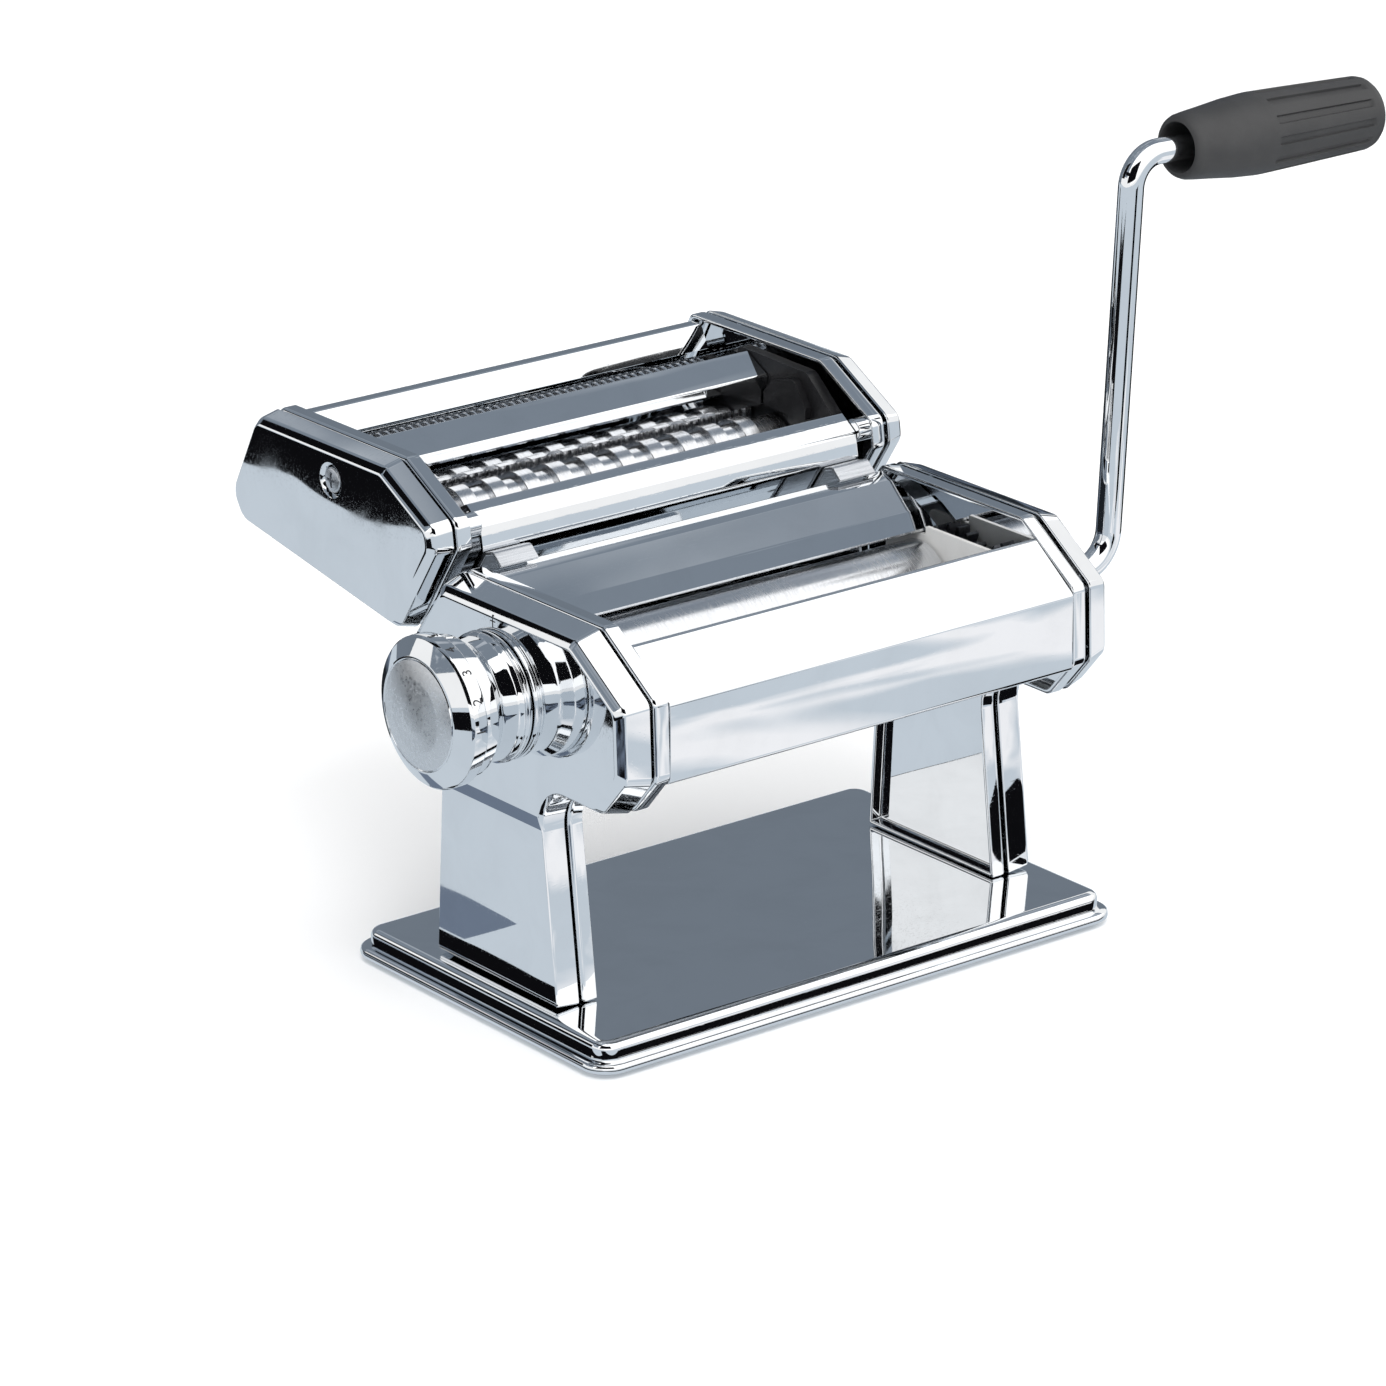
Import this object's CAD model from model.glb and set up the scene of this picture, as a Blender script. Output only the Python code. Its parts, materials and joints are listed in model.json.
"""Looks for the pasta roller machine: detailed pieces, materials, studio and camera around its frame."""

import json
import math

import bmesh
import bpy
from mathutils import Matrix, Vector

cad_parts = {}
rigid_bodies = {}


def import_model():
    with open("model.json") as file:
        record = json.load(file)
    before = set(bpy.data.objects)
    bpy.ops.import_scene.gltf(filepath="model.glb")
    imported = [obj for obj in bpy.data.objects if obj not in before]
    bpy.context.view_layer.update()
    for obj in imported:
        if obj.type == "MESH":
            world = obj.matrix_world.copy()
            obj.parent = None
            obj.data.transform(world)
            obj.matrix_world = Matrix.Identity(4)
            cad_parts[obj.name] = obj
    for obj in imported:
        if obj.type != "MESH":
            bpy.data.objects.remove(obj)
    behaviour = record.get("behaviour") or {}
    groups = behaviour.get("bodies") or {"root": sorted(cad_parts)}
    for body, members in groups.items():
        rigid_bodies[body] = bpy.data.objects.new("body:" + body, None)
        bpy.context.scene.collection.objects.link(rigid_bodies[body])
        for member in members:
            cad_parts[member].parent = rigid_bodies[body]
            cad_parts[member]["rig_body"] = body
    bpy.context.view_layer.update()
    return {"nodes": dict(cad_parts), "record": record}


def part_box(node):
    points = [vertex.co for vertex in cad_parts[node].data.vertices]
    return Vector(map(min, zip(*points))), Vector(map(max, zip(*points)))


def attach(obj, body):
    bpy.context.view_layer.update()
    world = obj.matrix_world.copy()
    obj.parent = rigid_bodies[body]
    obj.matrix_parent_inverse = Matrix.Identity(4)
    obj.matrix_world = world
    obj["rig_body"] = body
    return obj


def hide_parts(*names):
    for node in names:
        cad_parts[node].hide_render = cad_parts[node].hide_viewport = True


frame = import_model()

# ---------------------------------------------------------------- the machine's own millimetres
# x = 0 midway between the side covers, y = 0 at the middle of the base, z = 0 on the table.

MM = 0.001
_base_low, _base_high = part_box("base_plate")
MIDDLE = Vector(((_base_low.x + _base_high.x) / 2, (_base_low.y + _base_high.y) / 2, 0))


def to_row(point):
    return MIDDLE + Vector(point) * MM


def axis_of(node):
    """(y, z) of the axis of a round node that lies along X."""
    low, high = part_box(node)
    centre = ((low + high) / 2 - MIDDLE) / MM
    return centre.y, centre.z


PLATE_INNER, PLATE_WEB, PLATE_OUTER, PLATE_WALL = 82.5, 86.4, 88.2, 1.7
# a cover tapers from its open side to the shoulder, then slopes to its flat face
COVER = {"inner": 89.6, "shoulder": 97.8, "outer": 99.9, "taper": 2.4, "bevel": 2.8, "wall": 1.6}
CUTTER_COVER = {"inner": 89.4, "shoulder": 95.6, "outer": 97.6, "taper": 1.6, "bevel": 2.4, "wall": 1.5}
LEG_STEP = {"depth": 1.5, "top": 75.5, "bottom": 70.2}
BASE_HALF_X, BASE_HALF_Y = 104.3, 64.5
BASE_TOP, BASE_BOTTOM, BASE_RADIUS = 11.0, 2.0, 6.0
LEG_FOOT_Z = BASE_TOP + 0.3

# corners are (y, z, radius, share of the cover's taper and bevel that the edge after them takes)
SIDE_OUTLINE = [
    (26, 141, 4), (-45.5, 141, 4), (-71.2, 123.4, 4), (-72, 97.6, 5), (-59.8, 83.7, 5, 0.5),
    (-25, 83.9, 13, 0.08), (-33.3, LEG_FOOT_Z, 1, 0.3), (31.9, LEG_FOOT_Z, 1, 0.2), (27.2, 80, 7, 0.5),
    (39, 84, 3), (43.5, 90, 4), (43.5, 117.5, 6),
]
CUTTER_OUTLINE = [
    (128.5, 169.8, 4), (58, 169.8, 5), (31, 155, 5), (29.8, 146, 4),
    (51, 114.3, 4, 0.6), (138, 129, 6, 0.4), (145, 139, 8, 0.4),
]
FRONT_AXIS = (-33.3, 111.4)
KNOB_AXIS = (-4.0, 109.6)
REAR_AXIS = (-4.0, 110.4)
ROLLER_RADIUS = 13.9
ROLLER_HALF = 75.0
CUTTING_ROLLER_HALF = 77.3
SMOOTH_GEAR = {"teeth": 20, "pitch": 14.66, "addendum": 1.1, "dedendum": 2.5, "x0": 79, "x1": 84}
CUTTER_GEAR = {"teeth": 14, "pitch": 9.7, "addendum": 1.0, "dedendum": 1.9, "x0": -95, "x1": -90.2}
SHEET_END = PLATE_INNER - 0.3           # where the bent covers stop beside the plates
TIE_ROD_END = PLATE_WEB - 0.3
SCREW_AT = (86.5, 157.0)
CUTTER_LEAN = math.radians(9.6)
ROD_RADIUS = 4.3
SOCKET_RADIUS = ROD_RADIUS + 0.35
NIPS = {"comb_wide": (66.5, 137.0), "comb_fine": (106.5, 147.0)}
CUTTER_AXES = {name: axis_of(name.replace("roller", "gear")) for name in (
    "wide_roller_front", "wide_roller_rear", "fine_roller_front", "fine_roller_rear")}

# ---------------------------------------------------------------- outlines


def fillet(points, closed=True, steps=6):
    """Rounds the corners of [(u, v, radius)] with true arcs; every corner gives steps + 1 points."""
    out = []
    count = len(points)
    for i, corner in enumerate(points):
        here = Vector(corner[:2])
        radius = corner[2] if len(corner) > 2 else 0.0
        if radius <= 0 or (not closed and i in (0, count - 1)):
            out.append(here)
            continue
        back = Vector(points[i - 1][:2]) - here
        ahead = Vector(points[(i + 1) % count][:2]) - here
        half = back.angle(ahead) / 2
        reach = min(radius / math.tan(half), back.length * 0.48, ahead.length * 0.48)
        radius = reach * math.tan(half)
        centre = here + (back.normalized() + ahead.normalized()).normalized() * (radius / math.sin(half))
        start = here + back.normalized() * reach - centre
        end = here + ahead.normalized() * reach - centre
        first = math.atan2(start.y, start.x)
        turn = (math.atan2(end.y, end.x) - first + math.pi) % (2 * math.pi) - math.pi
        for k in range(steps + 1):
            angle = first + turn * k / steps
            out.append(centre + Vector((math.cos(angle), math.sin(angle))) * radius)
    return out


def inset(points, distance, use_shares=False):
    """The corners moved inwards, each edge by its share when the shares count; inner corners grow with it."""
    count = len(points)
    area = sum(points[i][0] * points[(i + 1) % count][1] - points[(i + 1) % count][0] * points[i][1]
               for i in range(count))
    side = math.copysign(1.0, area)

    def edge(i):
        here, ahead = points[i % count], points[(i + 1) % count]
        share = here[3] if use_shares and len(here) > 3 else 1.0
        return Vector((here[1] - ahead[1], ahead[0] - here[0])).normalized() * side, distance * share

    out = []
    for i, corner in enumerate(points):
        (a, p), (b, q) = edge(i - 1), edge(i)
        cross = a.cross(b)
        u = corner[0] + (p * b.y - q * a.y) / cross
        v = corner[1] + (q * a.x - p * b.x) / cross
        if cross * side < 0:
            radius = corner[2] + (p + q) / 2
        else:
            radius = corner[2] if use_shares else max(corner[2] - distance, 0.4)
        out.append((u, v, radius, *corner[3:]))
    return out


# ---------------------------------------------------------------- mesh builders (millimetres)


def skin(loops):
    """Quads between successive loops of the same number of points, with the two ends capped."""
    bm = bmesh.new()
    rings = [[bm.verts.new(p) for p in loop] for loop in loops]
    for a, b in zip(rings, rings[1:]):
        for i in range(len(a)):
            j = (i + 1) % len(a)
            bm.faces.new((a[i], a[j], b[j], b[i]))
    bm.faces.new(rings[0][::-1])
    bm.faces.new(rings[-1])
    return bm


def prism(outline, x0, x1):
    return skin([[(x, p[0], p[1]) for p in outline] for x in (x0, x1)])


def rectangle(centre, width, height):
    signs = ((-1, -1), (1, -1), (1, 1), (-1, 1))
    return [(centre[0] + a * width / 2, centre[1] + b * height / 2) for a, b in signs]


def tray(corners, stations):
    """A dished pressing: stations are (x, inset) from its inner face round the rim to its outer face."""
    return skin([[(x, p.x, p.y) for p in fillet(inset(corners, d))] for x, d in stations])


def arc_stations(x0, d0, x1, d1, steps=5):
    """Quarter of an ellipse between two stations, leaving the first one along x."""
    out = []
    for k in range(1, steps + 1):
        t = math.pi / 2 * k / steps
        out.append((x0 + (x1 - x0) * math.sin(t), d0 + (d1 - d0) * (1 - math.cos(t))))
    return out


def lathe(profile, axis=(0.0, 0.0), steps=72, radius_at=None):
    """Turns [(x, r)] round an axis along X; a profile that starts off the axis has to close on itself."""
    bm = bmesh.new()
    rings = []
    for x, r in profile:
        if r < 1e-6:
            rings.append([bm.verts.new((x, axis[0], axis[1]))])
            continue
        circle = []
        for k in range(steps):
            angle = 2 * math.pi * k / steps
            rr = radius_at(x, r, angle) if radius_at else r
            circle.append(bm.verts.new((x, axis[0] + rr * math.cos(angle), axis[1] + rr * math.sin(angle))))
        rings.append(circle)
    for a, b in zip(rings, rings[1:]):
        for k in range(steps):
            j = (k + 1) % steps
            if len(a) == 1 and len(b) > 1:
                bm.faces.new((a[0], b[k], b[j]))
            elif len(b) == 1 and len(a) > 1:
                bm.faces.new((a[j], a[k], b[0]))
            elif len(a) > 1:
                bm.faces.new((a[k], b[k], b[j], a[j]))
    return bm


def turned(points, axis, steps=72, arc=3):
    """Lathe of a profile [(x, r, corner radius)]."""
    closed = points[0][1] > 0
    path = fillet(points, closed=closed, steps=arc)
    if closed:
        path.append(path[0])
    return lathe([(p.x, p.y) for p in path], axis, steps)


def sheet(line, thickness, x0, x1, steps=5):
    """Bent sheet metal: a line [(y, z, bend radius)] given a thickness to its left."""
    path = fillet([p if len(p) > 2 else (*p, 0) for p in line], closed=False, steps=steps)
    offset = []
    for i, p in enumerate(path):
        before = (p - path[i - 1]).normalized() if i else (path[1] - p).normalized()
        after = (path[i + 1] - p).normalized() if i + 1 < len(path) else before
        n0, n1 = Vector((-before.y, before.x)), Vector((-after.y, after.x))
        offset.append(p + (n0 + n1) * (thickness / (1 + n0.dot(n1))))
    return prism([tuple(p) for p in path] + [tuple(p) for p in reversed(offset)], x0, x1)


def sweep(route, radius, steps=28):
    """A round rod along a route of points."""
    side = Vector((0, 1, 0))
    loops = []
    for i, p in enumerate(route):
        ahead = (route[min(i + 1, len(route) - 1)] - route[max(i - 1, 0)]).normalized()
        side = (side - ahead * side.dot(ahead)).normalized()
        other = ahead.cross(side)
        loops.append([p + (side * math.cos(t) + other * math.sin(t)) * radius
                      for t in (2 * math.pi * k / steps for k in range(steps))])
    return skin(loops)


def mirror_x(bm):
    out = bm.copy()
    for v in out.verts:
        v.co.x = -v.co.x
    bmesh.ops.reverse_faces(out, faces=out.faces)
    return out


def moved(bm, matrix):
    bm.transform(matrix)
    return bm


def joined(*parts):
    """Several meshes in one, without a boolean."""
    bm = bmesh.new()
    for part in parts:
        mesh = bpy.data.meshes.new("part")
        part.to_mesh(mesh)
        part.free()
        bm.from_mesh(mesh)
        bpy.data.meshes.remove(mesh)
    return bm


def cut(bm, tools):
    """The mesh with other meshes cut out of it by exact booleans."""
    def temporary(source):
        bmesh.ops.recalc_face_normals(source, faces=source.faces)
        mesh = bpy.data.meshes.new("tmp")
        source.to_mesh(mesh)
        source.free()
        obj = bpy.data.objects.new("tmp", mesh)
        bpy.context.scene.collection.objects.link(obj)
        return obj

    body = temporary(bm)
    others = [temporary(tool) for tool in tools]
    for other in others:
        modifier = body.modifiers.new("cut", "BOOLEAN")
        modifier.operation = "DIFFERENCE"
        modifier.solver = "EXACT"
        modifier.object = other
    evaluated = body.evaluated_get(bpy.context.evaluated_depsgraph_get())
    result = bpy.data.meshes.new_from_object(evaluated)
    out = bmesh.new()
    out.from_mesh(result)
    bpy.data.meshes.remove(result)
    for obj in [body, *others]:
        mesh = obj.data
        bpy.data.objects.remove(obj)
        bpy.data.meshes.remove(mesh)
    return out


def drill(radius, x0, x1, axis, steps=48):
    return lathe([(x0, 0), (x0, radius), (x1, radius), (x1, 0)], axis, steps)


def ring(outer, inner, x0, x1, axis, steps=48):
    return turned([(x0, inner, 0.25), (x0, outer, 0.35), (x1, outer, 0.35), (x1, inner, 0.25)], axis, steps)


BODY_OF = {node: obj["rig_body"] for node, obj in frame["nodes"].items()}


def piece(name, bm, material, slot, bevel=0.0, crease=35, segments=3, flat=False, body=None, second=None):
    """Turns a millimetre mesh into a finished piece NODE_skin that stands for NODE and rides on its body.

    body is for added detail that stands for no node; second is (material, test of a face's centre)."""
    nodes = [name.removesuffix("_skin")]
    bmesh.ops.remove_doubles(bm, verts=bm.verts, dist=1e-3)
    bmesh.ops.recalc_face_normals(bm, faces=bm.faces)
    if second:
        for face in bm.faces:
            face.material_index = int(second[1](face.calc_center_median()))
    for v in bm.verts:
        v.co = to_row(v.co)
    mesh = bpy.data.meshes.new(name)
    bm.to_mesh(mesh)
    bm.free()
    mesh.shade_smooth()
    mesh.set_sharp_from_angle(angle=math.radians(crease))
    obj = bpy.data.objects.new(name, mesh)
    bpy.context.scene.collection.objects.link(obj)
    mesh.materials.append(material)
    if second:
        mesh.materials.append(second[0])
    if bevel:
        modifier = obj.modifiers.new("edges", "BEVEL")
        modifier.width = bevel * MM
        modifier.segments = segments
        modifier.limit_method = "ANGLE"
        modifier.angle_limit = math.radians(crease)
        modifier.harden_normals = True
        modifier.use_clamp_overlap = True
    if flat:
        modifier = obj.modifiers.new("flat_faces", "WEIGHTED_NORMAL")
        modifier.mode = "FACE_AREA"
        modifier.weight = 100
        modifier.keep_sharp = True
    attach(obj, body or BODY_OF[nodes[0]])
    if not body:
        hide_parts(*nodes)


def both_sides(name, bm, material, slot, **options):
    left = mirror_x(bm)
    piece(f"{name}_right_skin", bm, material, slot, **options)
    piece(f"{name}_left_skin", left, material, slot, **options)


# ---------------------------------------------------------------- materials


class Nodes:
    """Short hand for a material's node tree; every texture reads object coordinates in metres."""

    def __init__(self, name):
        self.material = bpy.data.materials.new(name)
        self.material.use_nodes = True
        self.tree = self.material.node_tree
        self.shader = self.tree.nodes["Principled BSDF"]
        self.place = self.tree.nodes.new("ShaderNodeTexCoord").outputs["Object"]

    def set(self, **values):
        for key, value in values.items():
            self.shader.inputs[key.replace("_", " ")].default_value = value
        return self

    def link(self, a, b):
        self.tree.links.new(a, b)

    def stretched(self, scale):
        node = self.tree.nodes.new("ShaderNodeMapping")
        node.inputs["Scale"].default_value = scale
        self.link(self.place, node.inputs["Vector"])
        return node.outputs["Vector"]

    def noise(self, scale, detail=3.0, rough=0.55, at=None, distortion=0.0):
        node = self.tree.nodes.new("ShaderNodeTexNoise")
        node.inputs["Scale"].default_value = scale
        node.inputs["Detail"].default_value = detail
        node.inputs["Roughness"].default_value = rough
        node.inputs["Distortion"].default_value = distortion
        self.link(at or self.place, node.inputs["Vector"])
        return node.outputs["Fac"]

    def cells(self, scale):
        node = self.tree.nodes.new("ShaderNodeTexVoronoi")
        node.inputs["Scale"].default_value = scale
        self.link(self.place, node.inputs["Vector"])
        return node.outputs["Distance"]

    def ramp(self, value, low, high, start, end):
        node = self.tree.nodes.new("ShaderNodeMapRange")
        node.interpolation_type = "SMOOTHSTEP"
        for key, number in zip(("From Min", "From Max", "To Min", "To Max"), (low, high, start, end)):
            node.inputs[key].default_value = number
        self.link(value, node.inputs["Value"])
        return node.outputs["Result"]

    def mix(self, factor, a, b):
        node = self.tree.nodes.new("ShaderNodeMix")
        node.data_type = "RGBA"
        for key, value in (("A", a), ("B", b)):
            socket = [s for s in node.inputs if s.name == key and s.type == "RGBA"][0]
            if hasattr(value, "default_value"):
                self.link(value, socket)
            else:
                socket.default_value = (*value, 1)
        self.link(factor, node.inputs[0])
        return [s for s in node.outputs if s.type == "RGBA"][0]

    def maths(self, operation, a, b):
        node = self.tree.nodes.new("ShaderNodeMath")
        node.operation = operation
        for socket, value in zip(node.inputs, (a, b)):
            if hasattr(value, "default_value"):
                self.link(value, socket)
            else:
                socket.default_value = value
        return node.outputs[0]

    def colour(self, socket):
        self.link(socket, self.shader.inputs["Base Color"])
        return self

    def roughness(self, socket):
        self.link(socket, self.shader.inputs["Roughness"])
        return self

    def bump(self, *heights):
        """Each height is (socket, strength, distance in metres)."""
        normal = None
        for socket, strength, distance in heights:
            node = self.tree.nodes.new("ShaderNodeBump")
            node.inputs["Strength"].default_value = strength
            node.inputs["Distance"].default_value = distance
            self.link(socket, node.inputs["Height"])
            if normal:
                self.link(normal, node.inputs["Normal"])
            normal = node.outputs["Normal"]
        self.link(normal, self.shader.inputs["Normal"])
        return self


def chrome_material(name, tint=(0.87, 0.885, 0.90), wave=1.0, scratch=0.5):
    """Polished plate: mirror-like, with faint smears, hairline scratches and a pressed sheet's slow waves."""
    n = Nodes(name).set(Metallic=1.0, Roughness=0.03)
    smear = n.noise(38, 4, 0.6, distortion=0.6)
    grain = n.noise(900, 2, 0.5)
    n.colour(n.mix(n.ramp(smear, 0.35, 0.75, 0.0, 1.0), tint, tuple(c * 0.95 for c in tint)))
    fine = n.ramp(grain, 0.3, 0.7, 0.0, 0.012)
    n.roughness(n.maths("ADD", n.ramp(smear, 0.45, 0.85, 0.015, 0.06), fine))
    lines = n.noise(1.0, 2, 0.5, at=n.stretched((260, 2600, 900)))
    slow = n.noise(13, 1.5, 0.4)
    n.bump((slow, 0.3 * wave, 0.0012), (n.ramp(lines, 0.62, 0.7, 0.0, 1.0), 0.04 * scratch, 0.00004))
    return n.material


def brushed_material(name, tint, rough=0.3, along=(40, 1800, 1800), darker=0.8, dents=0.1):
    """Ground or brushed metal: fine parallel lines along X, a little uneven in tone."""
    n = Nodes(name).set(Metallic=1.0, Roughness=rough)
    lines = n.noise(1.0, 3, 0.6, at=n.stretched(along))
    cloud = n.noise(30, 4, 0.6)
    n.colour(n.mix(n.maths("MULTIPLY", n.ramp(lines, 0.3, 0.7, 0, 1), n.ramp(cloud, 0.25, 0.75, 0.35, 1)),
                   tint, tuple(c * darker for c in tint)))
    n.roughness(n.maths("ADD", n.ramp(lines, 0.3, 0.7, rough * 0.75, rough * 1.25),
                        n.ramp(cloud, 0.3, 0.8, 0.0, 0.08)))
    n.bump((lines, 0.18, 0.00004), (cloud, dents, 0.0004))
    return n.material


def plastic_material(name, colour, lighter, rough, grain=2600, grain_depth=0.00003):
    """Moulded plastic: spark-eroded grain, slight mottling, rubbed lighter in patches."""
    n = Nodes(name).set(Metallic=0.0, Roughness=rough, IOR=1.48)
    mottle = n.noise(55, 5, 0.6)
    speck = n.cells(grain)
    n.colour(n.mix(n.ramp(mottle, 0.35, 0.8, 0.0, 1.0), colour, lighter))
    n.roughness(n.maths("ADD", n.ramp(mottle, 0.3, 0.8, rough * 0.88, rough * 1.1),
                        n.ramp(speck, 0, 0.6, 0.0, 0.06)))
    n.bump((speck, 0.5, grain_depth), (mottle, 0.15, 0.0003))
    return n.material


CHROME = chrome_material("chrome_plate")
CHROME_FLAT = chrome_material("chrome_side", wave=1.6)
CHROME_ROD = chrome_material("chrome_rod", wave=0.2, scratch=0.3)
KNOB_FACE = brushed_material("knob_face", (0.74, 0.75, 0.765), rough=0.3, along=(900, 900, 900), darker=0.95,
                             dents=0.02)
STEEL = brushed_material("satin_steel", (0.62, 0.64, 0.67))
ROLLER = brushed_material("roller_ground", (0.78, 0.79, 0.81), rough=0.2, along=(1500, 120, 120), darker=0.88)
GEAR = brushed_material("gear_steel", (0.16, 0.165, 0.18), rough=0.38, along=(500, 500, 500), darker=0.55)
GRIP = plastic_material("grip_plastic", (0.024, 0.024, 0.025), (0.036, 0.036, 0.037), 0.5)
BLACK = plastic_material("black_plastic", (0.006, 0.006, 0.007), (0.014, 0.014, 0.016), 0.32, grain=1800)
NYLON = plastic_material("nylon", (0.74, 0.74, 0.73), (0.64, 0.64, 0.63), 0.42)
RUBBER = plastic_material("rubber", (0.012, 0.012, 0.013), (0.03, 0.03, 0.031), 0.8)
INK = plastic_material("dial_ink", (0.02, 0.02, 0.022), (0.03, 0.03, 0.032), 0.5)

SLOT_MATERIAL = {
    "chrome": CHROME, "satin_steel": STEEL, "roller_metal": ROLLER, "dark_steel": GEAR,
    "grip_plastic": GRIP, "black_plastic": BLACK, "nylon": NYLON, "rubber": RUBBER,
}

# every carried-over CAD node gets the finish of its slot
for sub in frame["record"]["subparts"]:
    node = frame["nodes"][sub["node"]]
    node.data.materials.clear()
    node.data.materials.append(SLOT_MATERIAL[sub["material_slot"]])

# ---------------------------------------------------------------- base


def rounded_rectangle(half_x, half_y, radius, z, steps=10):
    corners = [(-half_x, -half_y, radius), (half_x, -half_y, radius), (half_x, half_y, radius),
               (-half_x, half_y, radius)]
    return [(p.x, p.y, z) for p in fillet(corners, steps=steps)]


def build_base():
    # (how far out of the base's outline, z), from inside the tray round its lip and up to the top
    profile = [(-1.6, BASE_TOP - 1.6), (-1.6, BASE_BOTTOM + 0.2), (-1.2, BASE_BOTTOM), (3.0, BASE_BOTTOM),
               (3.5, BASE_BOTTOM + 0.4), (3.6, BASE_BOTTOM + 1.2), (3.4, 4.4), (2.6, 5.0), (1.0, 5.0),
               (0.2, 5.3), (0.0, 6.0), (0.0, 8.6), (-0.35, 9.7), (-1.1, 10.5), (-2.2, 10.9), (-3.6, BASE_TOP)]
    loops = [rounded_rectangle(BASE_HALF_X + o, BASE_HALF_Y + o, BASE_RADIUS + o, z) for o, z in profile]
    piece("base_plate_skin", skin(loops), CHROME_FLAT, "chrome", crease=50, flat=True)
    for end in ("front", "rear"):
        for side in ("left", "right"):
            name = f"rubber_foot_{end}_{side}"
            low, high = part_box(name)
            centre = ((low + high) / 2 - MIDDLE) / MM
            height = (high.z - low.z) / MM
            foot = [(0, 0), (0, 7.2, 0.8), (2.4, 8.3, 0.5), (height, 8.4, 0.3), (height, 0)]
            standing = Matrix.Rotation(-math.pi / 2, 4, "Y")
            in_place = Matrix.Translation((centre.x, centre.y, 0)) @ standing
            piece(f"{name}_skin", moved(turned(foot, (0, 0), 48), in_place), RUBBER, "rubber")


# ---------------------------------------------------------------- side plates and covers


def rimmed_plate(corners, holes):
    """An inner side plate: a flat web with a rim that points inwards, and a rounded outer edge."""
    round_edge = 1.6
    web = [(PLATE_WEB, PLATE_WALL + 0.9), (PLATE_WEB - 0.3, PLATE_WALL + 0.25), (PLATE_WEB - 0.9, PLATE_WALL)]
    rim = [(PLATE_INNER + 0.3, PLATE_WALL), (PLATE_INNER, PLATE_WALL - 0.3), (PLATE_INNER, 0.4),
           (PLATE_INNER + 0.4, 0.0), (PLATE_OUTER - round_edge, 0.0)]
    edge = arc_stations(PLATE_OUTER - round_edge, 0.0, PLATE_OUTER, round_edge)
    bm = tray(corners, web + rim + edge)
    return cut(bm, [drill(r, PLATE_WEB - 2, PLATE_OUTER + 1, (y, z)) for y, z, r in holes])


def pressed_cover(corners, cover, steps=8):
    """A shell open towards the plate: tapered sides, soft shoulder, flat bevel, soft edge to its face."""
    inner, shoulder, outer = cover["inner"], cover["shoulder"], cover["outer"]
    taper, bevel, wall = cover["taper"], cover["bevel"], cover["wall"]

    def loop(x, distance, thick=0.0):
        outline = inset(corners, distance, use_shares=True)
        if thick:
            outline = inset(outline, thick)
        return [(x, p.x, p.y) for p in fillet(outline, steps=steps)]

    inside = [loop(outer - wall, taper + bevel, wall), loop(shoulder - 0.6, taper, wall),
              loop(inner + 0.2, 0.1, wall)]
    rim = [loop(inner, 0.05, wall - 0.3), loop(inner, 0.05, 0.4), loop(inner + 0.35, 0.1)]
    rise, run = outer - shoulder, shoulder - inner
    soft = 0.17     # share of the bevel that each of its two soft edges takes
    side = [loop(shoulder - 0.6, taper * (1 - 0.6 / run)), loop(shoulder - 0.06, taper + 0.07),
            loop(shoulder + rise * soft, taper + bevel * soft)]
    edge = [loop(outer - rise * soft, taper + bevel * (1 - soft)), loop(outer - 0.1, taper + bevel + 0.05),
            loop(outer, taper + bevel + 0.7)]
    return skin(inside + rim + side + edge)


def step_leg(bm):
    """Sets the leg's face back from the head's, with a short slope between, cut close to its two edges."""
    top, bottom, depth = LEG_STEP["top"], LEG_STEP["bottom"], LEG_STEP["depth"]
    start, reach = COVER["shoulder"], COVER["outer"] - COVER["shoulder"]
    for z in (bottom - 0.5, bottom + 0.4, top - 0.4, top + 0.5):
        bmesh.ops.bisect_plane(bm, geom=bm.verts[:] + bm.edges[:] + bm.faces[:], plane_co=(0, 0, z),
                               plane_no=(0, 0, 1), dist=1e-4)
    for v in bm.verts:
        down = min(max((top - v.co.z) / (top - bottom), 0.0), 1.0)
        out = min(max((v.co.x - start) / reach, 0.0), 1.0)
        v.co.x -= depth * down * out
    return bm


def build_sides():
    plate = rimmed_plate(SIDE_OUTLINE, [(*FRONT_AXIS, 9.3), (*KNOB_AXIS, 8.3)])
    both_sides("frame_plate", plate, CHROME, "satin_steel", crease=50, flat=True)
    shell = step_leg(pressed_cover(SIDE_OUTLINE, COVER))
    left = mirror_x(shell)
    outer = COVER["outer"]
    right = cut(shell, [drill(7.6, outer - 4, outer + 1, FRONT_AXIS)])
    left = cut(left, [drill(5.4, -outer - 1, -outer + 4, KNOB_AXIS)])
    piece("side_cover_right_skin", right, CHROME_FLAT, "chrome", crease=55, flat=True)
    piece("side_cover_left_skin", left, CHROME_FLAT, "chrome", crease=55, flat=True)
    bush_end = PLATE_OUTER + 2.2
    both_sides("front_roller_bush", ring(9, 6.3, PLATE_WEB - 0.5, bush_end, FRONT_AXIS), NYLON, "nylon")
    both_sides("adjuster_bush", ring(8, 4.8, PLATE_WEB - 0.2, bush_end, KNOB_AXIS), NYLON, "nylon")
    guard = prism([tuple(p) for p in fillet(
        [(-52, 125, 2), (-43.6, 125, 0.3), (-43.6, 128.5, 1), (-4.4, 128.5, 0.4), (-4.4, 125.6, 0.3),
         (16, 125.6, 2), (16, 104, 3), (4, 92, 3), (-46, 92, 3), (-52, 104, 3)])], 76.3, 77.7)
    guard = cut(guard, [drill(7.2, 76, 78, FRONT_AXIS), drill(11, 76, 78, REAR_AXIS)])
    both_sides("side_guard", guard, NYLON, "nylon", bevel=0.3)


# ---------------------------------------------------------------- covers, rods, scrapers


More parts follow.
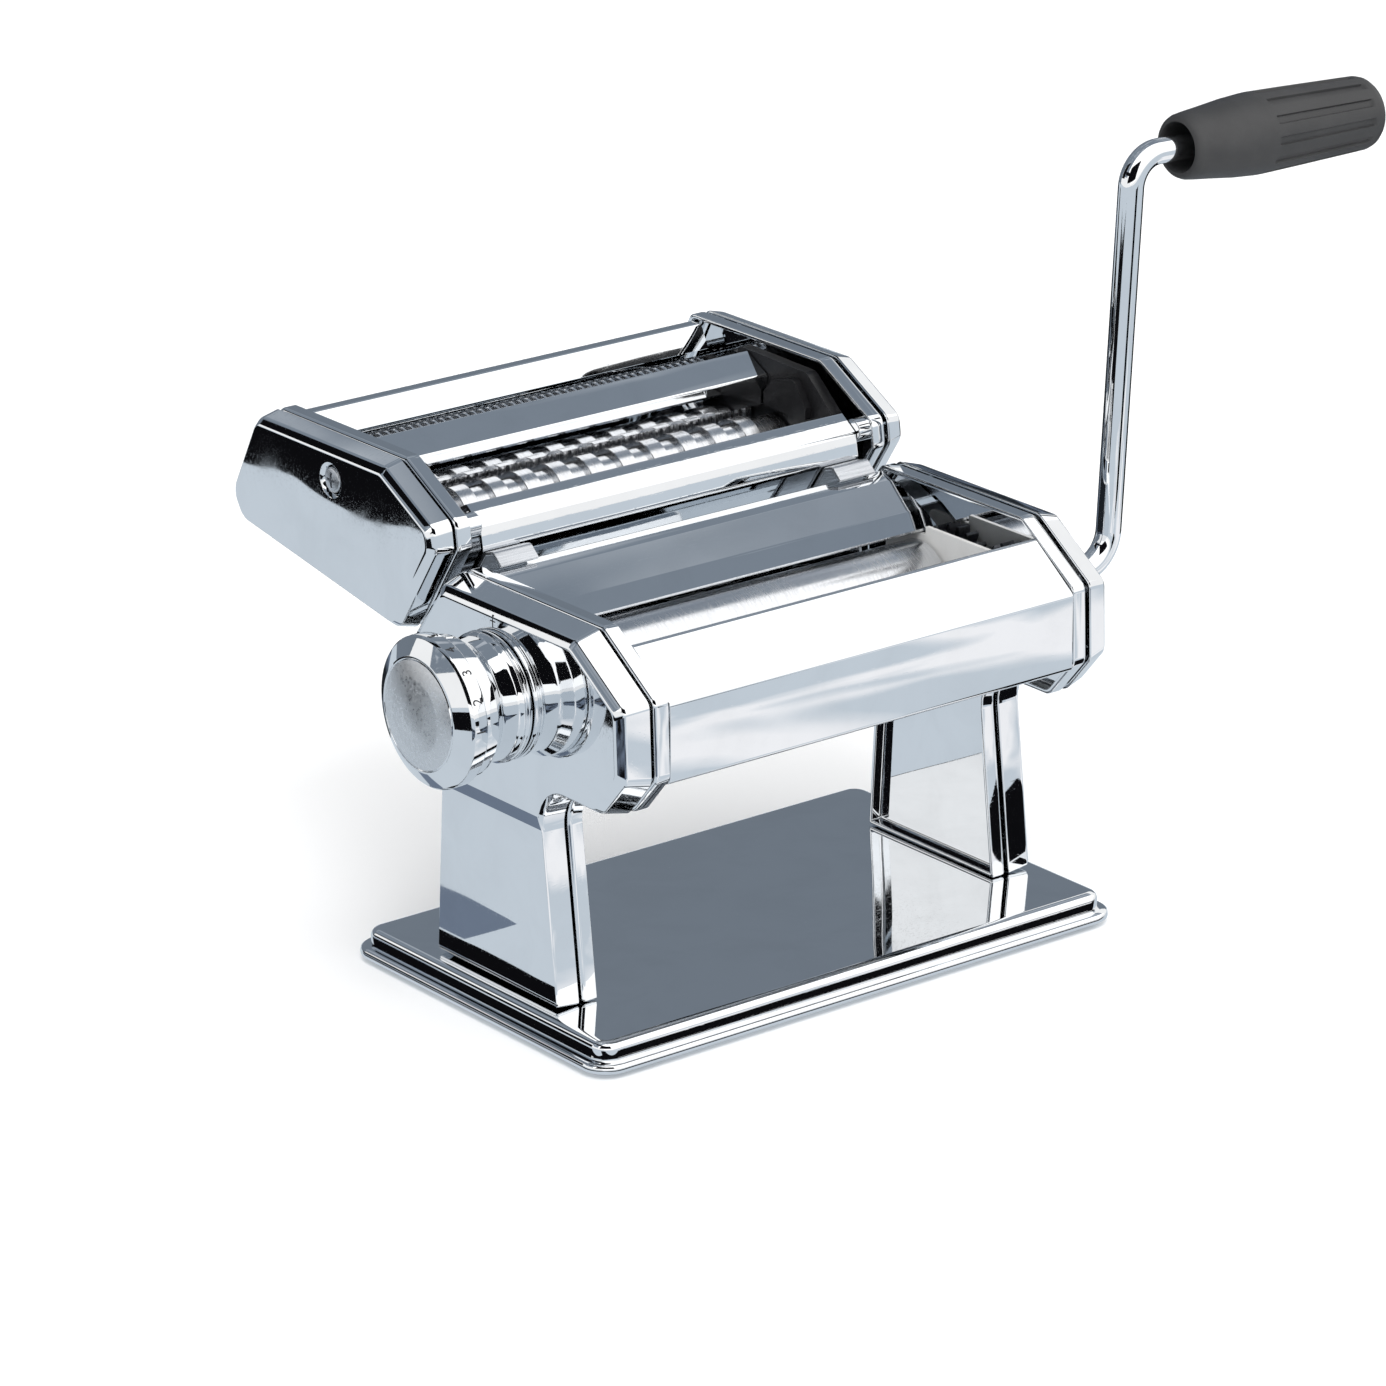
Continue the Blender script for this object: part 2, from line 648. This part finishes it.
def build_body():
    end = SHEET_END
    front = sheet([(-44.5, 126.5), (-51.8, 136.2, 1.8), (-71.4, 121.6, 2.0), (-71.4, 95.6, 1.6), (-68, 94.2)],
                  1.3, -end, end)
    piece("front_cover_skin", front, CHROME, "chrome", bevel=0.25)
    rear = sheet([(37.5, 86), (42.6, 91, 2), (42.6, 116.8, 3), (25.6, 139.4, 1.2), (19, 137.6, 4),
                  (4, 131.6, 8), (-3, 127.4)], 1.3, -end, end)
    piece("rear_cover_skin", rear, CHROME, "chrome", bevel=0.25)
    rod_end = TIE_ROD_END
    for name, axis in (("tie_rod_front", (-60.5, 104)), ("tie_rod_rear", (29, 100))):
        rod = turned([(-rod_end, 0), (-rod_end, 3.5, 0.6), (rod_end, 3.5, 0.6), (rod_end, 0)], axis, 40)
        piece(f"{name}_skin", rod, CHROME_ROD, "chrome")
    front = [(-49.6, 91.4), (-41.2, 91.4), (-34.6, 96.7), (-35.2, 97.2), (-42, 93), (-49.6, 93)]
    middle = (FRONT_AXIS[0] + REAR_AXIS[0]) / 2
    opposite = [(2 * middle - y + 1.5, z - 1.2) for y, z in front]
    for name, outline in (("scraper_front", front), ("scraper_rear", opposite)):
        piece(f"{name}_skin", prism(outline, -74, 74), STEEL, "satin_steel", bevel=0.12)


# ---------------------------------------------------------------- smooth rollers


def gear(name, size, axis, bore, phase):
    """A spur gear with chamfered teeth; phase is the bearing of its first tooth."""
    pitch, x0, x1 = size["pitch"], size["x0"], size["x1"]
    root, tip = pitch - size["dedendum"], pitch + size["addendum"]
    step = 2 * math.pi / size["teeth"]
    outline = []
    for i in range(size["teeth"]):
        for r, share in ((root, -0.26), (pitch, -0.2), (tip, -0.12), (tip, 0.12), (pitch, 0.2), (root, 0.26)):
            angle = phase + (i + share) * step
            outline.append((axis[0] + r * math.cos(angle), axis[1] + r * math.sin(angle)))
    blank = cut(prism(outline, x0, x1), [drill(bore, x0 - 1, x1 + 1, axis)])
    piece(f"{name}_skin", blank, GEAR, "dark_steel", bevel=0.2, segments=2)


def build_rollers():
    half, r = ROLLER_HALF, ROLLER_RADIUS
    left_end, right_end = PLATE_OUTER + 1.5, PLATE_OUTER + 3
    socket, mouth = SOCKET_RADIUS, COVER["outer"] + 0.4
    front = turned([
        (-left_end, 0), (-left_end, 6, 0.5), (-half, 6, 0.3), (-half, r, 0.8), (half, r, 0.8), (half, 6, 0.3),
        (right_end, 6), (right_end, 7, 0.2), (mouth, 7, 0.5), (mouth, socket, 0.4), (79, socket), (79, 0),
    ], FRONT_AXIS, 96)
    piece("roller_front_skin", front, ROLLER, "roller_metal")
    rear = turned([
        (-half, 6.6, 0.3), (-half, r, 0.8), (half, r, 0.8), (half, 9, 0.3), (84.6, 9, 0.3), (84.6, 6.6, 0.3),
    ], REAR_AXIS, 96)
    piece("roller_rear_skin", rear, ROLLER, "roller_metal")
    towards_rear = math.atan2(REAR_AXIS[1] - FRONT_AXIS[1], REAR_AXIS[0] - FRONT_AXIS[0])
    half_tooth = math.pi / SMOOTH_GEAR["teeth"]
    gear("drive_gear", SMOOTH_GEAR, FRONT_AXIS, 6.4, towards_rear)
    gear("driven_gear", SMOOTH_GEAR, REAR_AXIS, 9.4, towards_rear + math.pi + half_tooth)
    inner = -PLATE_WEB + 0.6
    piece("thrust_washer_left_skin", ring(8.5, 6.6, inner, -half - 0.4, REAR_AXIS), NYLON, "nylon")
    piece("thrust_washer_right_skin", ring(8.5, 6.6, 84.9, PLATE_WEB - 0.3, REAR_AXIS), NYLON, "nylon")


# ---------------------------------------------------------------- setting knob

DIGIT_SIZE = 4.7
DIGIT_X = -122.7            # middle of the knob's numbered band
DIGIT_RADIUS = 24.74        # just under the band's face, so that a sliver of a digit's depth stands out
SETTINGS = 9
MIDDLE_SETTING = 5
DEGREES_PER_SETTING = 22.5
MARK_Z = 134.2              # the mark on the left cover that the settings are read against


def digit(text, size, depth=0.25):
    """A digit as a thin solid in the XY plane, centred."""
    curve = bpy.data.curves.new("digit", "FONT")
    curve.body = text
    curve.size = size
    curve.align_x = "CENTER"
    curve.align_y = "CENTER"
    curve.extrude = depth / 2
    curve.resolution_u = 4
    obj = bpy.data.objects.new("digit", curve)
    bpy.context.scene.collection.objects.link(obj)
    mesh = bpy.data.meshes.new_from_object(obj.evaluated_get(bpy.context.evaluated_depsgraph_get()))
    bm = bmesh.new()
    bm.from_mesh(mesh)
    bpy.data.meshes.remove(mesh)
    bpy.data.objects.remove(obj)
    bpy.data.curves.remove(curve)
    return bm


def build_knob():
    barrel = turned([
        (-100.3, 4.9, 0.2), (-100.3, 13.6, 0.3), (-103.8, 13.6), (-103.8, 18.4), (-100.3, 18.4, 0.3),
        (-100.3, 21.0, 0.4), (-101.8, 21.45, 0.5), (-102.4, 20.5, 0.3), (-103.2, 21.35, 0.5),
        (-104.8, 20.1, 1.5), (-111.0, 19.9, 3.0), (-114.5, 22.8, 1.0), (-114.9, 22.9, 0.3),
        (-119.5, 22.9, 0.3), (-119.5, 8.4), (-105.0, 8.4), (-105.0, 4.9),
    ], KNOB_AXIS, 128)
    piece("knob_barrel_skin", barrel, CHROME_ROD, "chrome")
    cap = turned([
        (-125.5, 0), (-125.5, 8.4), (-119.8, 8.4), (-119.8, 24.1, 0.3), (-120.5, 24.8, 0.4),
        (-125.1, 24.8, 0.5), (-126.0, 24.1, 0.5), (-128.9, 18.9, 0.5), (-129.05, 18.3, 0.15),
        (-128.75, 18.0, 0.1), (-129.2, 17.7, 0.2), (-130.45, 12, 8), (-131.3, 5, 12), (-131.55, 0),
    ], KNOB_AXIS, 128)

    def on_dome(centre):
        return centre.x < -128.9 and math.hypot(centre.y - KNOB_AXIS[0], centre.z - KNOB_AXIS[1]) < 17.75

    piece("knob_cap_skin", cap, CHROME_ROD, "chrome", second=(KNOB_FACE, on_dome))
    digits = []
    for setting in range(1, SETTINGS + 1):
        turn = math.radians(90 + (MIDDLE_SETTING - setting) * DEGREES_PER_SETTING)
        outward = Vector((0, math.cos(turn), math.sin(turn)))
        up = Vector((-1, 0, 0))
        right = up.cross(outward)
        basis = Matrix((right, up, outward)).transposed().to_4x4()
        spot = Vector((DIGIT_X, *KNOB_AXIS)) + outward * DIGIT_RADIUS
        digits.append(moved(digit(str(setting), DIGIT_SIZE), Matrix.Translation(spot) @ basis))
    piece("knob_numbers", joined(*digits), INK, "satin_steel", body=BODY_OF["knob_cap"])
    mark = [prism(rectangle((KNOB_AXIS[0], MARK_Z), width, height), -99.98, -99.6)
            for width, height in ((0.35, 4.2), (2.6, 0.35))]
    piece("setting_mark", joined(*mark), INK, "satin_steel", body=BODY_OF["side_cover_left"])


# ---------------------------------------------------------------- crank

ARM_LEAN = math.radians(3.5)
GRIP_DROOP = math.radians(1.3)
GRIP_LENGTH, GRIP_OFFSET = 85.3, 19.2
FLUTES, FLUTE_DEPTH = 12, 0.8
ARM = Vector((math.sin(ARM_LEAN), 0, math.cos(ARM_LEAN)))
GRIP_LINE = Vector((math.cos(GRIP_DROOP), 0, -math.sin(GRIP_DROOP)))
ELBOW = Vector((130.3, *FRONT_AXIS))
ARM_TOP = ELBOW + ARM * 138.4


def bent_route(corners, radii, steps=14):
    """Points along straight runs between the corners, with a true arc at each inner corner."""
    points = [corners[0]]
    for i, radius in enumerate(radii, start=1):
        back = (corners[i - 1] - corners[i]).normalized()
        ahead = (corners[i + 1] - corners[i]).normalized()
        half = back.angle(ahead) / 2
        centre = corners[i] + (back + ahead).normalized() * (radius / math.sin(half))
        start = corners[i] + back * (radius / math.tan(half)) - centre
        end = corners[i] + ahead * (radius / math.tan(half)) - centre
        axis = start.cross(end).normalized()
        for k in range(steps + 1):
            points.append(centre + Matrix.Rotation(start.angle(end) * k / steps, 3, axis) @ start)
    points.append(corners[-1])
    return points


def build_crank():
    start = Vector((80, *FRONT_AXIS))
    end = ARM_TOP + GRIP_LINE * (GRIP_OFFSET + 66)
    rod = sweep(bent_route([start, ELBOW, ARM_TOP, end], [13, 11]), ROD_RADIUS, 40)
    piece("crank_rod_skin", rod, CHROME_ROD, "chrome", bevel=0.3, crease=50)

    length, offset = GRIP_LENGTH, GRIP_OFFSET
    flute_from, flute_to = offset + 33.5, offset + 78

    def fluted(x, r, angle):
        """The grip's radius there: less in a flute, which fades out at its two ends."""
        if not flute_from < x < flute_to or r < 11:
            return r
        phase = (angle / (2 * math.pi) * FLUTES) % 1.0
        side = abs(phase - 0.5) * 2
        ends = min((x - flute_from) / 0.5, (flute_to - x) / 1.0, 1.0)
        return r - FLUTE_DEPTH * ends * min(max((side - 0.6) / 0.06, 0.0), 1.0)

    outside = [(12.0, 12.0), (22, 13.15), (31, 13.75), (33, 13.8), (38, 13.7), (50, 13.4), (62, 13.05),
               (74, 12.7), (length - 5, 12.5)]
    smooth = []
    for (x0, r0), (x1, r1) in zip(outside, outside[1:]):
        steps = max(int((x1 - x0) / 0.5), 1)
        smooth += [(x0 + (x1 - x0) * k / steps, r0 + (r1 - r0) * k / steps) for k in range(steps)]
    nose = [(length - 5, 12.5), (length - 3.3, 12.05), (length - 1.8, 11.0), (length - 0.7, 9.5),
            (length - 0.2, 8.2), (length - 0.05, 6.6), (length - 0.05, 0)]
    mouth = [(13.4, 0), (13.4, 7.8), (2.0, 8.0), (0.8, 8.2), (0.15, 8.6), (0.05, 9.1), (0.4, 9.9),
             (1.0, 10.4), (2.4, 10.95), (6, 11.4)]
    profile = [(offset + x, r) for x, r in mouth + smooth + nose]
    grip = lathe(profile, (0, 0), 288, fluted)
    in_place = Matrix.Translation(ARM_TOP) @ Matrix.Rotation(GRIP_DROOP, 4, "Y")
    piece("crank_grip_skin", moved(grip, in_place), GRIP, "grip_plastic", crease=40)
    washer = moved(ring(7, ROD_RADIUS + 0.4, offset + 12.2, offset + 13.3, (0, 0)), in_place)
    piece("grip_washer_skin", washer, STEEL, "satin_steel")


# ---------------------------------------------------------------- cutter head


def build_cutter_case():
    holes = [(*axis, 5.4) for axis in CUTTER_AXES.values()] + [(*SCREW_AT, 2.2)]
    plate = rimmed_plate(CUTTER_OUTLINE, holes)
    stud_from, stud_to = PLATE_INNER - 5, PLATE_WEB + 0.2
    stud = turned([(stud_from, 0), (stud_from, 4, 0.5), (stud_to, 4), (stud_to, 0)], (35.2, 151.4), 40)
    both_sides("cutter_plate", joined(plate, stud), CHROME, "satin_steel", crease=50, flat=True)

    outer = CUTTER_COVER["outer"]
    dimple = lathe([(outer - 3.4, 0), (outer - 3.4, 2.6), (outer - 1.4, 4.6), (outer - 0.5, 5.2),
                    (outer - 0.1, 6.0), (outer + 1, 6.2), (outer + 1, 0)], SCREW_AT, 64)
    shell = cut(pressed_cover(CUTTER_OUTLINE, CUTTER_COVER), [dimple])
    left = mirror_x(shell)
    sockets = [drill(6.8, outer - 4, outer + 1, CUTTER_AXES[name])
               for name in ("wide_roller_front", "fine_roller_front")]
    right = cut(shell, sockets)
    piece("cutter_cover_right_skin", right, CHROME_FLAT, "chrome", crease=55, flat=True)
    piece("cutter_cover_left_skin", left, CHROME_FLAT, "chrome", crease=55, flat=True)

    head = turned([(PLATE_OUTER - 2, 0), (PLATE_OUTER - 2, 1.9), (outer - 3, 1.9),
                   (outer - 1.1, 4.35, 0.3), (outer - 0.5, 3.9, 0.8), (outer - 0.12, 1.5, 2),
                   (outer - 0.12, 0)], SCREW_AT, 48)
    slots = [prism(rectangle(SCREW_AT, width, height), outer - 1.6, outer + 1)
             for width, height in ((5.2, 1.0), (1.0, 5.2))]
    both_sides("cutter_screw", cut(head, slots), STEEL, "satin_steel", bevel=0.1)


def build_cutter_body():
    end = SHEET_END
    roof = sheet([(105.2, 156), (104, 160.2, 1.2), (91.5, 165.9, 0.8), (80.6, 160.1, 1.2), (80.6, 150.2)],
                 1.2, -77.7, 77.7)
    piece("cutter_roof_skin", roof, CHROME, "chrome", bevel=0.25)
    rear = sheet([(139.5, 133), (142.6, 139.2, 3), (127, 167.6, 1.2), (122.4, 167.6, 1.2), (118.4, 159.6)],
                 1.2, -end, end)
    piece("cutter_rear_cover_skin", rear, CHROME, "chrome", bevel=0.25)
    front = sheet([(56, 149.6), (47, 152.6, 1), (40.4, 156.6, 1.2), (33, 151.4, 2), (31.5, 143, 3),
                   (51.5, 114.8)], 1.2, -77.2, 77.2)
    piece("cutter_front_cover_skin", front, CHROME, "chrome", bevel=0.25)
    rod_end = TIE_ROD_END
    rod = turned([(-rod_end, 0), (-rod_end, 3, 0.5), (rod_end, 3, 0.5), (rod_end, 0)], (131, 138), 40)
    piece("cutter_tie_rod_skin", rod, CHROME_ROD, "chrome")
    build_cheeks()
    for name, centre in NIPS.items():
        y, z = centre
        outline = [(y - 9, z - 17.8), (y + 9, z - 17.8), (y + 9, z - 16.2), (y + 6.3, z - 16.2),
                   (y + 6.3, z - 12.8), (y - 6.3, z - 12.8), (y - 6.3, z - 16.2), (y - 9, z - 16.2)]
        outlet = prism([(y - 4.6, z - 30), (y + 4.6, z - 30), (y + 4.6, z), (y - 4.6, z)], -72, 72)
        comb = cut(prism(outline, -77.2, 77.2), [outlet])
        piece(f"{name}_skin", comb, BLACK, "black_plastic", bevel=0.3)
    hook = sheet([(50.8, 115.3), (31.1, 142.8, 2.5), (26.5, 144.2, 2.0), (22.2, 140.4)], 1.2, 62, 77)
    both_sides("hook", hook, STEEL, "satin_steel", bevel=0.3)


def build_cheeks():
    """Black moulded end pieces: bearings of the cutting rollers, and a guide block for the sheet."""
    cheek = prism([tuple(p) for p in fillet([
        (44, 152, 3), (60, 165.4, 4), (97, 166.4, 2), (97, 158, 1), (117, 158, 3), (128, 150, 3),
        (128, 131, 4), (54.5, 118, 4), (46, 128, 4)])], 78.1, 82.3)
    cheek = cut(cheek, [drill(4.6, 77, 83, axis) for axis in CUTTER_AXES.values()])
    guide = prism([tuple(p) for p in fillet([
        (57.8, 149.8, 0.5), (57.4, 154, 1), (64, 163, 3), (75, 160, 4), (79.9, 155, 2), (79.9, 149.8, 0.5)])],
        75.6, 78.15)
    both_sides("end_cheek", joined(cheek, guide), BLACK, "black_plastic", bevel=0.5)


def shaft_end(half, socket):
    """The crank end of a cutting roller's shaft: plain, or flared with a socket for the crank rod."""
    if not socket:
        return [(half, 4.2), (PLATE_OUTER + 1.5, 4.2, 0.4), (PLATE_OUTER + 1.5, 0)]
    inside = SOCKET_RADIUS
    mouth = CUTTER_COVER["outer"] + 0.2
    return [(half, 4.2), (PLATE_OUTER + 0.8, 4.2), (PLATE_OUTER + 1.6, 6.2), (mouth, 6.2, 0.3),
            (mouth, inside, 0.3), (PLATE_OUTER + 2.2, inside), (PLATE_OUTER + 2.2, 0)]


def cutting_roller(axis, pitch, first, tip, core, socket):
    """Discs with a gap of their own width between them; the partner's discs run in the gaps."""
    half = CUTTING_ROLLER_HALF
    profile = [(-95.6, 0), (-95.6, 4.2, 0.4), (-half, 4.2), (-half, core)]
    count = int(half / pitch)
    for i in range(-count, count):
        if (i + first) % 2:
            continue
        x = i * pitch + 0.15
        disc = pitch - 0.3
        profile += [(x, core), (x, tip, 0.2), (x + disc, tip, 0.2), (x + disc, core)]
    profile += [(half, core)] + shaft_end(half, socket)
    return turned(profile, axis, 64, arc=1)


def build_cutter_rollers():
    for name, pitch, tip, core in (("wide_roller", 6.5, 10.4, 8.7), ("fine_roller", 1.6, 9.45, 8.4)):
        for first, end in enumerate(("front", "rear")):
            full = f"{name}_{end}"
            roller = cutting_roller(CUTTER_AXES[full], pitch, first, tip, core, end == "front")
            piece(f"{full}_skin", roller, ROLLER, "roller_metal")
            phase = CUTTER_LEAN + (0 if end == "front" else math.pi + math.pi / CUTTER_GEAR["teeth"])
            gear(full.replace("roller", "gear"), CUTTER_GEAR, CUTTER_AXES[full], 4.6, phase)


build_base()
build_sides()
build_body()
build_rollers()
build_knob()
build_crank()
build_cutter_case()
build_cutter_body()
build_cutter_rollers()

# ---------------------------------------------------------------- studio


def studio_material(name, colour, rough=0.9):
    material = bpy.data.materials.new(name)
    material.use_nodes = True
    shader = material.node_tree.nodes["Principled BSDF"]
    shader.inputs["Base Color"].default_value = (*colour, 1)
    shader.inputs["Roughness"].default_value = rough
    return material


def glowing_material(name, colour, strength, clouds=None):
    """A panel's face: it gives light to the reflections and reflects nothing itself.

    clouds is (second colour, features per metre, threshold): soft patches of that colour."""
    material = studio_material(name, (0, 0, 0), 1.0)
    tree = material.node_tree
    shader = tree.nodes["Principled BSDF"]
    shader.inputs["Specular IOR Level"].default_value = 0.0
    shader.inputs["Emission Color"].default_value = (*colour, 1)
    shader.inputs["Emission Strength"].default_value = strength
    if clouds:
        other, scale, threshold = clouds
        place = tree.nodes.new("ShaderNodeTexCoord")
        noise = tree.nodes.new("ShaderNodeTexNoise")
        noise.inputs["Scale"].default_value = scale
        noise.inputs["Detail"].default_value = 2.5
        noise.inputs["Distortion"].default_value = 0.7
        tree.links.new(place.outputs["Object"], noise.inputs["Vector"])
        ramp = tree.nodes.new("ShaderNodeValToRGB")
        ramp.color_ramp.elements[0].position = threshold - 0.06
        ramp.color_ramp.elements[0].color = (*colour, 1)
        ramp.color_ramp.elements[1].position = threshold + 0.06
        ramp.color_ramp.elements[1].color = (*other, 1)
        tree.links.new(noise.outputs["Fac"], ramp.inputs["Fac"])
        tree.links.new(ramp.outputs["Color"], shader.inputs["Emission Color"])
    return material


def quad(name, corners, material):
    mesh = bpy.data.meshes.new(name)
    mesh.from_pydata(corners, [], [(0, 1, 2, 3)])
    mesh.materials.append(material)
    obj = bpy.data.objects.new(name, mesh)
    bpy.context.scene.collection.objects.link(obj)
    return obj


def level(x0, x1, y0, y1, z):
    """Corners of a level rectangle, in metres from the middle of the machine."""
    return [MIDDLE + Vector(p) for p in ((x0, y0, z), (x1, y0, z), (x1, y1, z), (x0, y1, z))]


def wedge(centre, start, end, near, far, z):
    """Corners of a level wedge round a point, between two bearings in degrees and two distances."""
    spots = [(r, math.radians(t)) for r, t in ((near, start), (near, end), (far, end), (far, start))]
    return [MIDDLE + Vector((centre[0] + r * math.cos(t), centre[1] + r * math.sin(t), z)) for r, t in spots]


def upright(a, b, z0, z1):
    """Corners of a standing rectangle from a to b."""
    return [MIDDLE + Vector(p) for p in ((*a, z0), (*b, z0), (*b, z1), (*a, z1))]


def card(name, corners, colour, strength=1.0, clouds=None):
    """A panel that only the reflections see: a softbox when it glows, a dark flag when it doesn't."""
    obj = quad(name, corners, glowing_material(name, colour, strength, clouds))
    obj.visible_camera = False
    obj.visible_shadow = False
    obj.visible_diffuse = False


def light(name, centre, target, size, power):
    data = bpy.data.lights.new(name, "AREA")
    data.shape = "DISK"
    data.size = size
    data.energy = power
    obj = bpy.data.objects.new(name, data)
    bpy.context.scene.collection.objects.link(obj)
    obj.location = centre
    obj.rotation_euler = (Vector(target) - Vector(centre)).to_track_quat("-Z", "Y").to_euler()
    obj.visible_glossy = False


def world():
    scene_world = bpy.data.worlds.new("studio")
    scene_world.use_nodes = True
    background = scene_world.node_tree.nodes["Background"]
    background.inputs["Color"].default_value = (1, 1, 1, 1)
    background.inputs["Strength"].default_value = 1.0
    bpy.context.scene.world = scene_world


SKY_BLUE = (0.19, 0.225, 0.27)
PALE_BLUE = (0.60, 0.665, 0.73)
WHITE = (1.0, 1.0, 1.0)
NEAR_WHITE = (0.98, 0.98, 1.0)
CLOUD_GREY = (0.42, 0.455, 0.50)
SLATE = (0.16, 0.20, 0.27)
SOOT = (0.015, 0.018, 0.022)
DARK = (0.004, 0.004, 0.005)

# in metres: the height of the sky cards, and of the floor cards, where a darker one lies over a paler one
SKY = 1.5
PALE_LAYER, CLOUD_LAYER, SLATE_LAYER, DARK_LAYER = 0.0004, 0.0006, 0.0007, 0.0008
ROD_FOOT = (0.134, -0.033)              # the point under the crank rod that its streaks fan out from

quad("floor", level(-6, 6, -6, 6, 0), studio_material("floor_paper", (0.93, 0.93, 0.93)))
world()
TARGET = MIDDLE + Vector((0, 0, 0.1))
light("key", (-0.9, -1.3, 1.9), TARGET, 1.2, 26)
light("fill", (1.6, -0.6, 1.2), TARGET, 1.4, 10)

# what the chrome sees: a pale floor, a white sky in front, a blue-grey one behind, and dark flags and patches
card("pale_floor", level(-5, 5, -5, 5, PALE_LAYER), PALE_BLUE)
card("front_floor", level(-0.16, 0.5, -0.7, -0.075, CLOUD_LAYER), PALE_BLUE, clouds=(NEAR_WHITE, 7.0, 0.5))
card("front_ceiling", level(-4, 4, -3.0, 0.04, SKY), WHITE, 1.4)
card("front_wall", upright((-4, -3.0), (4, -3.0), 0.35, SKY), WHITE, 1.3)
card("rear_ceiling", level(-4, 1.9, 0.04, 2.2, SKY), SKY_BLUE, 1.1, clouds=(CLOUD_GREY, 2.2, 0.58))
card("rear_wall", upright((-1.2, 2.2), (5, 2.2), 0.02, SKY), SKY_BLUE, 0.9)
card("flag_by_head", upright((-0.259, 0.10), (-0.3555, 0.38), 0.0, 0.11), DARK)
card("flag_by_cutter", upright((-0.3555, 0.38), (-0.365, 0.9), 0.0, 0.11), DARK)
card("flag_above", upright((-0.305, 0.2), (-0.425, 0.85), 0.345, 0.8), DARK)
card("flag_by_camera", upright((-1.25, -0.25), (-0.25, -1.15), 0.36, 1.4), DARK)
card("rear_floor", level(-0.08, 2.2, 0.22, 2.2, DARK_LAYER), SOOT, clouds=(SLATE, 3.0, 0.55))
card("right_floor", level(0.45, 2.2, -0.10, 0.22, DARK_LAYER), SOOT)
card("front_right_floor", level(0.13, 0.24, -0.2, -0.09, DARK_LAYER), DARK)
card("left_streak", wedge(ROD_FOOT, 162, 198, 0.62, 1.8, DARK_LAYER), DARK)
card("front_streak", wedge(ROD_FOOT, -88, -70, 0.47, 1.2, DARK_LAYER), DARK)
card("step_floor", level(-0.148, -0.126, 0.055, 0.13, DARK_LAYER), SLATE)
card("front_left_floor", level(-0.50, -0.26, -0.36, -0.15, SLATE_LAYER), SLATE, clouds=(DARK, 18.0, 0.5))
card("front_contact", level(-0.14, 0.14, -0.088, -0.074, DARK_LAYER), DARK)
card("left_contact", level(-0.125, -0.113, -0.08, 0.09, DARK_LAYER), DARK)
card("knob_ceiling", level(-0.53, -0.33, -0.42, 0.25, 0.5), DARK)

# ---------------------------------------------------------------- camera

# degrees, and the lens in millimetres, fitted to the photograph's viewing angle
CAMERA_AT = to_row((-1191.78, -1505.35, 784.72))
CAMERA_AZIMUTH, CAMERA_ELEVATION, CAMERA_ROLL = -37.955, 19.985, -0.319
CAMERA_LENS = 163.55


def camera():
    data = bpy.data.cameras.new("camera")
    data.lens = CAMERA_LENS
    data.sensor_width = 36.0
    data.clip_start = 0.05
    data.clip_end = 50
    obj = bpy.data.objects.new("camera", data)
    bpy.context.scene.collection.objects.link(obj)
    turn = Matrix.Rotation(math.radians(CAMERA_AZIMUTH), 4, "Z")
    tilt = Matrix.Rotation(math.radians(90 - CAMERA_ELEVATION), 4, "X")
    roll = Matrix.Rotation(math.radians(CAMERA_ROLL), 4, "Z")
    obj.matrix_world = Matrix.Translation(CAMERA_AT) @ turn @ tilt @ roll
    bpy.context.scene.camera = obj


camera()
bpy.context.scene.view_settings.view_transform = "Standard"
